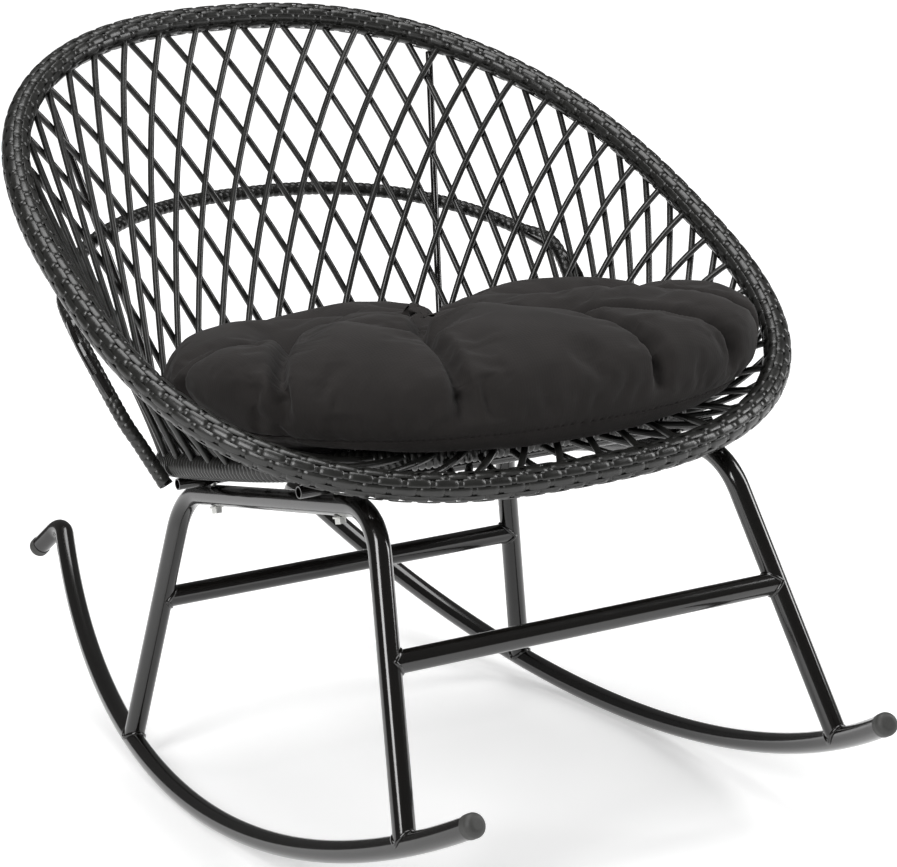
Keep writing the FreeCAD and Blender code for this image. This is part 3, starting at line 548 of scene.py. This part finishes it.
def flat_grid(long_faces, cross_faces):
    bpy.ops.object.select_all(action="DESELECT")
    bpy.ops.mesh.primitive_grid_add(x_subdivisions=long_faces, y_subdivisions=cross_faces, size=2)
    piece = bpy.context.object
    return piece, corners(piece)


def float_brick():
    piece, flat = flat_grid(len(FLOAT_STEPS) - 1, 3)
    steps = np.linspace(-1, 1, len(FLOAT_STEPS))
    long = np.interp(flat[:, 0], steps, FLOAT_STEPS)
    cross = np.interp(flat[:, 1], (-1, -1 / 3, 1 / 3, 1), (-1, -0.55, 0.55, 1))
    dip = np.clip((np.abs(long) - DIP_FROM) / DIP_RUN, 0, 1)
    dip = dip * dip * (3 - 2 * dip)
    edge = FLOAT_EDGE * np.abs(cross) ** EDGE_POWER
    height = FLOAT_TOP - DIP * dip - edge + FLOAT_ARCH * (1 - long ** 2)
    sideways = cross * FLOAT_HALF * (1 - DIP_NARROW * dip)
    return moved_to(piece, np.stack((long * PERIOD / 2, sideways, height), axis=-1))


def wrap_bit():
    piece, flat = flat_grid(2, 6)
    long, cross = flat[:, 0], flat[:, 1]
    edge = WRAP_EDGE * np.abs(cross) ** EDGE_POWER
    height = FLOAT_TOP - WRAP_LOW - edge - WRAP_ARCH * long ** 2
    lengthwise = PERIOD / 2 + long * WRAP_HALF
    return moved_to(piece, np.stack((lengthwise, cross * WRAP_REACH * PITCH, height), axis=-1))


brick = joined([float_brick(), wrap_bit()])
shifted = brick.copy()
shifted.data = brick.data.copy()
scene.collection.objects.link(shifted)
moved_to(shifted, corners(shifted) + (PERIOD / 2, PITCH, 0))
mat = alone(joined([brick, shifted]))
for count, shift in ((ROUND // 2, (0, 2 * PITCH, 0)), (PERIODS, (PERIOD, 0, 0))):
    bpy.ops.object.modifier_add(type="ARRAY")
    array = mat.modifiers[-1]
    array.use_relative_offset, array.use_constant_offset = False, True
    array.constant_offset_displace = shift
    array.count = count
    bpy.ops.object.modifier_apply(modifier=array.name)
print("flat mat has", len(mat.data.polygons), "faces")

# %% [markdown]
# The flat mat is rolled onto the rim: its length goes along the oval, its width round the
# tube, its height outwards. A dark core under it closes the view between the strips.

# %% Roll the mat onto the rim
CORE, SUNK = 12.1, 0.2
flat = corners(mat)
rolled = rim.around(flat[:, 0], flat[:, 1] / MAT_WIDTH * 2 * np.pi, CORE - SUNK + flat[:, 2])
moved_to(mat, placed(rolled))
core = tubes([rim.share(np.linspace(0, 1, 181)[:-1])], CORE, resolution=4, closed=True)
finished(joined([mat, core]), "rim_strips", rattan, "rattan", "rim_weave")

# %% [markdown]
# Base ring and hoop are wound with one flat strip each, turn beside turn. A long grid is
# laid along the line as a helix, crowned across its width, so that each turn shows.

# %% Wound strips
TURN_STEPS = 14
STRIP_HALF, CROWN_POWER = 0.49, 2.5
RING_RADIUS, RING_TURNS, RING_CROWN = 13.65, 244, 2.1


def wound(line, turns, radius, crown):
    piece, flat = flat_grid(turns * TURN_STEPS, 4)
    turn, cross = (flat[:, 0] + 1) / 2 * turns, flat[:, 1]
    pitch = line.length / turns
    way = turn * pitch + cross * pitch * STRIP_HALF
    height = radius - crown * np.abs(cross) ** CROWN_POWER
    return moved_to(piece, placed(line.around(way, turn * 2 * np.pi, height)))


ring_strip = wound(ring, RING_TURNS, RING_RADIUS, RING_CROWN)
finished(ring_strip, "base_ring_strip", rattan, "rattan", "base_ring_wrap")

# %% [markdown]
# The hoop lies in a tilted plane outside the lattice and the struts, and its legs run down
# beside the base ring. Its line is found where that plane cuts the wall of the bowl, and
# is then smoothed through those points.

# %% Back hoop
HOOP_RADIUS, HOOP_CROWN, HOOP_STRIP = 7.65, 0.6, 8
HOOP_OUT, HOOP_DROP, HOOP_TILT = 25.85, 195.0, math.radians(29.4)
HOOP_CORNER, LAP_GAP, TAIL = 70.0, 0.3, 12.0
LEG_SHARE, CORNER_SHARE = 495.0 / rim.length, HOOP_CORNER / rim.length
hoop_normal = np.array((0, -math.sin(HOOP_TILT), math.cos(HOOP_TILT)))
hoop_back = wall(0, HOOP_DROP / BACK_SPAN)


def hoop_point(share):
    top, foot = rim.share(share), ring.share(share)
    part = (hoop_back - top) @ hoop_normal / ((foot - top) @ hoop_normal)
    return wall(share, part) + outward(share) * HOOP_OUT


def hoop_leg(side):
    share = side * LEG_SHARE
    down = unit(ring.share(share) - rim.share(share))
    heading = ring.share(share + SHARE_NUDGE) - ring.share(share - SHARE_NUDGE)
    lap = unit(np.cross(heading, down)) * (RING_RADIUS + LAP_GAP + HOOP_RADIUS)
    return hoop_point(share) + down * HOOP_CORNER, ring.share(share) + lap + down * TAIL


def smoothed(points, steps=12):
    """Line through every point with no corners: a cubic curve from each point to the next."""
    points = np.array([2 * points[0] - points[1], *points, 2 * points[-1] - points[-2]])
    path = []
    for a, b, c, d in zip(points, points[1:], points[2:], points[3:]):
        for t in np.arange(steps) / steps:
            path.append((2 * b + (c - a) * t + (2 * a - 5 * b + 4 * c - d) * t ** 2
                         + (3 * b - a - 3 * c + d) * t ** 3) / 2)
    return np.array(path + [points[-2]])


left_top, left_foot = hoop_leg(-1)
right_top, right_foot = hoop_leg(1)
bend = LEG_SHARE - CORNER_SHARE
hoop_points = [hoop_point(share) for share in np.linspace(-bend, bend, 15)]
hoop_path = smoothed([left_foot, (left_foot + left_top) / 2, left_top, *hoop_points,
                      right_top, (right_foot + right_top) / 2, right_foot])
hoop = Line(hoop_path, hoop_normal)
hoop_strip = wound(hoop, round(hoop.length / HOOP_STRIP), HOOP_RADIUS, HOOP_CROWN)
finished(hoop_strip, "back_hoop_strip", rattan, "rattan", "back_hoop_wrap")

# %% [markdown]
# The cushion is a stuffed oval pad. Its form is a list of sections from the underside to
# the top, each a height and a half width in millimetres. Ovals of those widths make the
# pad, deeper behind than in front, and its front hangs down over the bowl's low side. Places
# on it are measured across, back and up from the seat.

# %% The cushion's form
SECTIONS = np.array((
    (42.0, 0), (42.0, 190), (48, 230), (60, 258), (76, 278), (94, 292), (112, 301),
    (128, 302), (140, 294), (150, 272), (156, 236), (159, 178), (160, 90), (160, 0),
))
SETBACK, ASIDE, WIDEST = -66.0, 12.0, 273.3
BACK_DEPTH, FRONT_DEPTH = 305.0, 181.0
BACK_POWER, FRONT_POWER = 2.15, 2.3
SAG, SAG_FROM, SAG_RUN, SAG_POWER = 30.0, -90.0, 160.0, 1.3
SEAT = np.array((0, 0, 331.5))
section_steps = np.linalg.norm(np.diff(SECTIONS, axis=0), axis=1)
section_reach = np.concatenate(([0], np.cumsum(section_steps)))


def seat_place(across, back, height):
    return SEAT + np.outer(across, (1, 0, 0)) + np.outer(back, SEAT_BACK) + np.outer(height, SEAT_UP)


def seat_measures(points):
    """Across, back and height of points in metres, in the seat's own frame."""
    offset = drawn(points) - SEAT
    return offset[:, 0], offset @ SEAT_BACK, offset @ SEAT_UP


def sag_at(back):
    """How far the cushion's front hangs down, where the bowl falls away under it."""
    return SAG * np.clip((SAG_FROM - back) / SAG_RUN, 0, 1) ** SAG_POWER


def pad_place(turn, part):
    """Point of the pad at a turn round it and a part of the way from its underside to its top."""
    way = part * section_reach[-1]
    height = np.interp(way, section_reach, SECTIONS[:, 0])
    half = np.interp(way, section_reach, SECTIONS[:, 1])
    behind = np.cos(turn) >= 0
    power = np.where(behind, 2 / BACK_POWER, 2 / FRONT_POWER)
    depth = np.where(behind, BACK_DEPTH, FRONT_DEPTH) * half / WIDEST
    across = np.sign(np.sin(turn)) * np.abs(np.sin(turn)) ** power * half
    along = np.sign(np.cos(turn)) * np.abs(np.cos(turn)) ** power * depth
    back = SETBACK + along
    return seat_place(ASIDE + across, back, height - sag_at(back))


print("the pad's outline is", round(section_reach[-1]), "mm from underside to top")

# %% [markdown]
# The cushion fills the bowl, but it may not cut into the lattice, the rim or the base ring.
# The bowl's surface becomes a cloud of points, each with its way out, and the two tubes
# become rows of beads. A search tree finds the nearest of them to a point of the cushion,
# which then moves off by a clearance.

# %% Room inside the bowl
WALL_HALF = LAYER + STRAND
KEPT_OFF = ((rim, 14.8), (ring, 13.8))
BEADS = 1200


def tree_of(points):
    search = KDTree(len(points))
    for index, point in enumerate(points):
        search.insert(point, index)
    search.balance()
    return search


wall_points, wall_normals = [], []
for share in np.linspace(0, 1, 361)[:-1]:
    parts = np.linspace(0, 1, 61)[:, None]
    way_out = outward(share)
    wall_points.extend(wall(share, parts) + way_out * draw_in(share, parts))
    wall_normals.extend([way_out] * len(parts))
wall_tree = tree_of(wall_points)


def kept_inside(points, clear):
    """Drawing points, moved off the lattice, the rim and the base ring by a clearance."""
    kept = np.array(points, float)
    for row in kept:
        near, index, _ = wall_tree.find(row)
        way_out = wall_normals[index]
        row -= way_out * max((row - near) @ way_out + WALL_HALF + clear, 0)
    for line, radius in KEPT_OFF:
        beads = tree_of(line.share(np.linspace(0, 1, BEADS)))
        for row in kept:
            near, _, gap = beads.find(row)
            row += (row - near) / max(gap, 1e-6) * max(radius + clear - gap, 0)
    return kept


print("the bowl's surface has", len(wall_points), "points")

# %% [markdown]
# The cover starts as a sphere whose rings are moved to the pad's sections, slightly slimmer
# than the finished pad, and is remeshed so that its cloth has even squares.

# %% Cushion, before stuffing
VOXEL = 0.006
FIRST_ROOM = 7
bpy.ops.object.select_all(action="DESELECT")
bpy.ops.mesh.primitive_uv_sphere_add(segments=96, ring_count=64, radius=1)
cushion = bpy.context.object
ball = corners(cushion)
turn = np.arctan2(ball[:, 0], ball[:, 1])
part = 1 - np.arccos(np.clip(ball[:, 2], -1, 1)) / np.pi
moved_to(cushion, placed(kept_inside(pad_place(turn, part), FIRST_ROOM)))
alone(cushion)
cushion.data.remesh_voxel_size = VOXEL
bpy.ops.object.voxel_remesh()
print("cushion cloth has", len(cushion.data.vertices), "points")

# %% [markdown]
# Seven tufts are sewn through the pad, and the cover folds into creases from tuft to tuft
# and out to its edge. Both are pressed in by how far a point of the top lies from the
# nearest tuft and the nearest crease.

# %% Tufts and creases
TUFTS = np.array(((-75, -112), (75, -112), (-150, 3), (0, 3), (150, 3), (-75, 118), (75, 118)))
EDGE_PLEATS = (
    (-120, -275), (105, -275), (-315, -20), (330, -20), (-160, 250), (165, 250),
)
CREASES = list(zip(TUFTS[[0, 1, 2, 4, 5, 6]].tolist(), EDGE_PLEATS))
CREASES += [((0, 3), tuft) for tuft in TUFTS[[0, 1, 5, 6]].tolist()]
CREASES += [((150, 3), (270, -170)), ((-150, 3), (-260, -170)), ((75, -112), (225, -240))]
TUFT_DEPTH, TUFT_WIDTH = 36.0, 26.0
CREASE_DEPTH, CREASE_WIDTH = 22.0, 9.0
TOP_FROM, TOP_RUN = 92.0, 24.0
across, back, height = seat_measures(corners(cushion))
on_top = np.clip((height + sag_at(back) - TOP_FROM) / TOP_RUN, 0, 1)
tuft_gap = np.min(np.hypot(across[:, None] - TUFTS[:, 0], back[:, None] - TUFTS[:, 1]), axis=1)
crease_gap = np.full(len(across), np.inf)
for first, last in CREASES:
    run = np.array(last, float) - first
    off = np.stack((across, back), axis=-1) - first
    along = np.clip(off @ run / (run @ run), 0, 1)
    crease_gap = np.minimum(crease_gap, np.linalg.norm(off - along[:, None] * run, axis=1))
press = TUFT_DEPTH * np.exp(-(tuft_gap / TUFT_WIDTH) ** 2)
press += CREASE_DEPTH * np.exp(-(crease_gap / CREASE_WIDTH) ** 2)
press *= on_top
moved_to(cushion, corners(cushion) - normals_of(cushion) * press[:, None] / MM)
print("tufts and creases are up to", round(float(press.max()), 1), "mm deep")

# %% [markdown]
# Stuffing is a cloth simulation: air pressure inside swells the cover, while the tufts and
# the underside, which lies in the bowl, are held. The cover is cut a little large, so it
# wrinkles between the tufts. Points may move only so far, and least of all sideways, where
# the lattice is close.

# %% Stuff the cushion
STUFFED_FRAMES = 20
MOST_UP, MOST_SIDE = 24.0, 8.0
SEWN_TUFT, SEWN_CREASE, HELD_BELOW = 9, 5, 62
LAST_ROOM = 2.5
held = cushion.vertex_groups.new(name="held")
sewn = (tuft_gap < SEWN_TUFT) | (crease_gap < SEWN_CREASE)
for index in np.nonzero((height < HELD_BELOW) | (sewn & (on_top > 0.5)))[0]:
    held.add([int(index)], 1.0, "REPLACE")
alone(cushion)
bpy.ops.object.modifier_add(type="CLOTH")
cloth = cushion.modifiers[-1]
cloth.settings.quality = 5
cloth.settings.mass = 0.3
cloth.settings.tension_stiffness = cloth.settings.compression_stiffness = 12
cloth.settings.shear_stiffness = 4
cloth.settings.bending_stiffness = 0.3
cloth.settings.shrink_min = -0.05
cloth.settings.vertex_group_mass = held.name
cloth.settings.use_pressure = True
cloth.settings.uniform_pressure_force = 4
cloth.settings.effector_weights.gravity = 0
cloth.collision_settings.use_collision = False
cloth.collision_settings.use_self_collision = False
before = corners(cushion)
for number in range(1, STUFFED_FRAMES + 1):
    scene.frame_set(number)
bpy.ops.object.modifier_apply(modifier=cloth.name)
cushion.vertex_groups.clear()
start, swollen = np.stack(seat_measures(before)), np.stack(seat_measures(corners(cushion)))
step = swollen - start
step[:2] *= np.minimum(1, MOST_SIDE / np.maximum(np.hypot(step[0], step[1]), 1e-6))
step[2] = np.clip(step[2], -MOST_UP, MOST_UP)
moved_to(cushion, placed(kept_inside(seat_place(*(start + step)), LAST_ROOM)))
scene.frame_set(1)
print("cloth moved up to", round(float(np.abs(step).max()), 1), "mm")
alone(cushion)
bpy.ops.object.modifier_add(type="SUBSURF")
cushion.modifiers[-1].levels = cushion.modifiers[-1].render_levels = 1
bpy.ops.object.modifier_apply(modifier=cushion.modifiers[-1].name)
finished(cushion, "tufted_cushion", cloth_finish, "cushion", "seat_cushion", body="cushion")

# %% [markdown]
# A seam joins the cushion's top and bottom halves. Its stitches draw the cover in, which
# leaves a fine groove with a thin welt in it. The seam's points are dropped onto the
# stuffed surface from outside, and the cover near them is then pressed in.

# %% Cushion seam
WELT, GROOVE, GROOVE_WIDTH = 1.1, 2.6, 3.6
SEAM_PART, MIDDLE_BACK, MIDDLE_HEIGHT = 0.44, 60.0, 88.0
FROM_OUTSIDE = 1.3
turns = np.linspace(0, 2 * np.pi, 241)[:-1]
outline = placed(pad_place(turns, np.full(len(turns), SEAM_PART)))
middle = placed(seat_place([0.0], [SETBACK + MIDDLE_BACK], [MIDDLE_HEIGHT]))[0]
seam_path = []
for point in outline:
    outside = Vector(middle + (point - middle) * FROM_OUTSIDE)
    hit, place, *_ = cushion.ray_cast(outside, Vector(middle) - outside)
    seam_path.append(np.array(place if hit else point))
seam_path = np.array(seam_path)
seam_tree = tree_of(seam_path)
cover = corners(cushion)
seam_gap = np.array([seam_tree.find(point)[2] for point in cover]) * MM
groove = GROOVE * np.exp(-(seam_gap / GROOVE_WIDTH) ** 2) / MM
moved_to(cushion, cover - normals_of(cushion) * groove[:, None])
seam_path += unit(middle - seam_path) * GROOVE / MM
welt = tubes([drawn(seam_path)], WELT, resolution=2, closed=True)
finished(welt, "cushion_seam", cloth_finish, "cushion", body="cushion")

# %% [markdown]
# The chair stands on a plain white floor under soft studio light. The floor is a pale matte
# sheet; a little of its white is given to camera and mirror rays only, so that it reads as
# the white ground of the picture and still keeps the chair's shadow.

# %% Floor
FLOOR_SIZE = 60
GLOW_FROM, GLOW_TO = 0.8, 3.5
NEAR_GLOW, FAR_GLOW = 0.4, 1.0


def ray_is(tree, *kinds):
    """Socket that is 1 for rays of any of these kinds and 0 for all others."""
    light_path = add(tree, "LightPath").outputs
    found = light_path[kinds[0]]
    for kind in kinds[1:]:
        found = add(tree, "Math", {0: found, 1: light_path[kind]}, operation="MAXIMUM").outputs[0]
    return found


bpy.ops.object.select_all(action="DESELECT")
bpy.ops.mesh.primitive_plane_add(size=FLOOR_SIZE)
floor = bpy.context.object
floor.name = "floor"
white_floor, tree, spot = new_material("matte_white_paper")
seen = ray_is(tree, "Is Camera Ray", "Is Glossy Ray", "Is Transmission Ray")
distance = add(tree, "VectorMath", {0: spot}, operation="LENGTH")
far_white = add(tree, "MapRange", {
    "Value": distance.outputs["Value"], "From Min": GLOW_FROM, "From Max": GLOW_TO,
    "To Min": NEAR_GLOW, "To Max": FAR_GLOW,
})
glow = add(tree, "Math", {0: seen, 1: far_white.outputs[0]}, operation="MULTIPLY")
paper = add(tree, "BsdfDiffuse", {"Color": linear("#f2f2f2")})
white = add(tree, "Emission", {"Color": (1, 1, 1, 1), "Strength": glow.outputs[0]})
show(tree, add(tree, "AddShader", {0: paper.outputs[0], 1: white.outputs[0]}))
floor.data.materials.append(white_floor)
print("floor is", FLOOR_SIZE, "m across")

# %% [markdown]
# The room round the chair gives a faint even light. The camera sees it as pure white, so
# that floor and background run into one.

# %% Surroundings
ROOM_LIGHT, SEEN_WHITE = 0.13, 1.0
world = scene.world or bpy.data.worlds.new("studio")
scene.world = world
world.use_nodes = True
tree = world.node_tree
tree.nodes.clear()
seen = ray_is(tree, "Is Camera Ray", "Is Transmission Ray")
room = add(tree, "Background", {"Color": (1, 1, 1, 1), "Strength": ROOM_LIGHT})
paper = add(tree, "Background", {"Color": (1, 1, 1, 1), "Strength": SEEN_WHITE})
mix = add(tree, "MixShader", {0: seen, 1: room.outputs[0], 2: paper.outputs[0]})
add(tree, "OutputWorld", {"Surface": mix.outputs[0]})
print("room light is", ROOM_LIGHT)

# %% [markdown]
# Three large soft boxes light the chair: one high on the left, one on the right and one
# above. Long boxes draw long highlights on the glossy tubes.

# %% Lamps
LAMP_AIM = Vector((0, 0, 0.45))
LAMPS = (
    ("left_box", (-2.6, -1.6, 2.4), (1.2, 2.2), 80),
    ("right_box", (2.6, -1.2, 1.8), (1.0, 2.0), 48),
    ("top_box", (0.0, 0.4, 3.4), (2.2, 2.2), 70),
)
for name, spot, (wide, high), watts in LAMPS:
    bpy.ops.object.light_add(type="AREA", location=spot)
    lamp = bpy.context.object
    lamp.name = name
    lamp.data.shape = "RECTANGLE"
    lamp.data.size, lamp.data.size_y = wide, high
    lamp.data.energy = watts
    lamp.rotation_euler = (LAMP_AIM - Vector(spot)).to_track_quat("-Z", "Y").to_euler()
    print(name, "gives", watts, "watts")

# %% [markdown]
# The camera stands at the picture's viewpoint: a little to the left, slightly above, far
# off with a long lens. Its three axes come from matching the base's tubes in the picture.

# %% Camera
EYE = Vector((-1.43846, -2.58732, 1.09359))
LOOK = Vector((0.49053, 0.83647, -0.24437)).normalized()
ROLL = math.radians(-1.37)
bpy.ops.object.camera_add(location=EYE)
camera = bpy.context.object
camera.name = "camera"
aim = LOOK.to_track_quat("-Z", "Y").to_matrix() @ Matrix.Rotation(ROLL, 3, "Z")
camera.matrix_world = Matrix.Translation(EYE) @ aim.to_4x4()
camera.data.sensor_width = 36.0
camera.data.lens = 117.24
scene.camera = camera
scene.view_settings.view_transform = "Standard"
print("camera is at", tuple(round(value, 2) for value in EYE))
